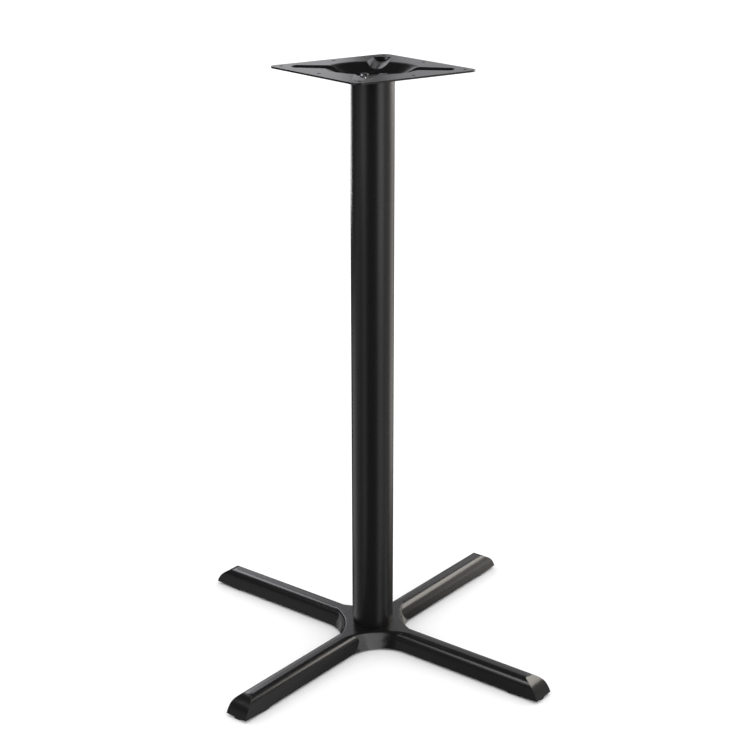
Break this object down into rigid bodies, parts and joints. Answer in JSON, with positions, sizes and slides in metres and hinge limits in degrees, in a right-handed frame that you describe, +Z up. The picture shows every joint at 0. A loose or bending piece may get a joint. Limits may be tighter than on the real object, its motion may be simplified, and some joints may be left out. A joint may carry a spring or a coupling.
{
  "type": "four star table base",
  "caption": "Black pedestal table base: a cast cross foot with rounded arms, a round steel column and a pressed square top plate with a central dish.",
  "frame": {"origin": "on the floor, on the axis of the column", "axes": "+Z up along the column; X and Y along the sides of the top plate; the arms of the cross are turned 14.6 degrees from X and Y"},
  "size_m": [0.7486, 0.7486, 1.067],
  "materials": {
    "cast_cross": "satin black powder coat over cast iron",
    "column_steel": "satin black powder coat",
    "plate_steel": "satin black powder coat",
    "column_inner_steel": "primed steel, hidden inside the column",
    "zinc_fasteners": "zinc plated",
    "plate_screw_zinc": "bright zinc plated",
    "glide_nylon": "moulded nylon, fine matt"
  },
  "bodies": {
    "root": {"base_casting": "cast_cross", "foot_glide_1": "glide_nylon", "foot_glide_2": "glide_nylon", "foot_glide_3": "glide_nylon", "foot_glide_4": "glide_nylon", "column_tube": "column_steel", "column_foot_plate": "column_inner_steel", "column_head_plate": "column_inner_steel", "base_bolt": "zinc_fasteners", "base_washer": "zinc_fasteners", "spring_washer": "zinc_fasteners", "top_plate": "plate_steel", "top_plate_screws": "plate_screw_zinc"}
  },
  "joints": []
}
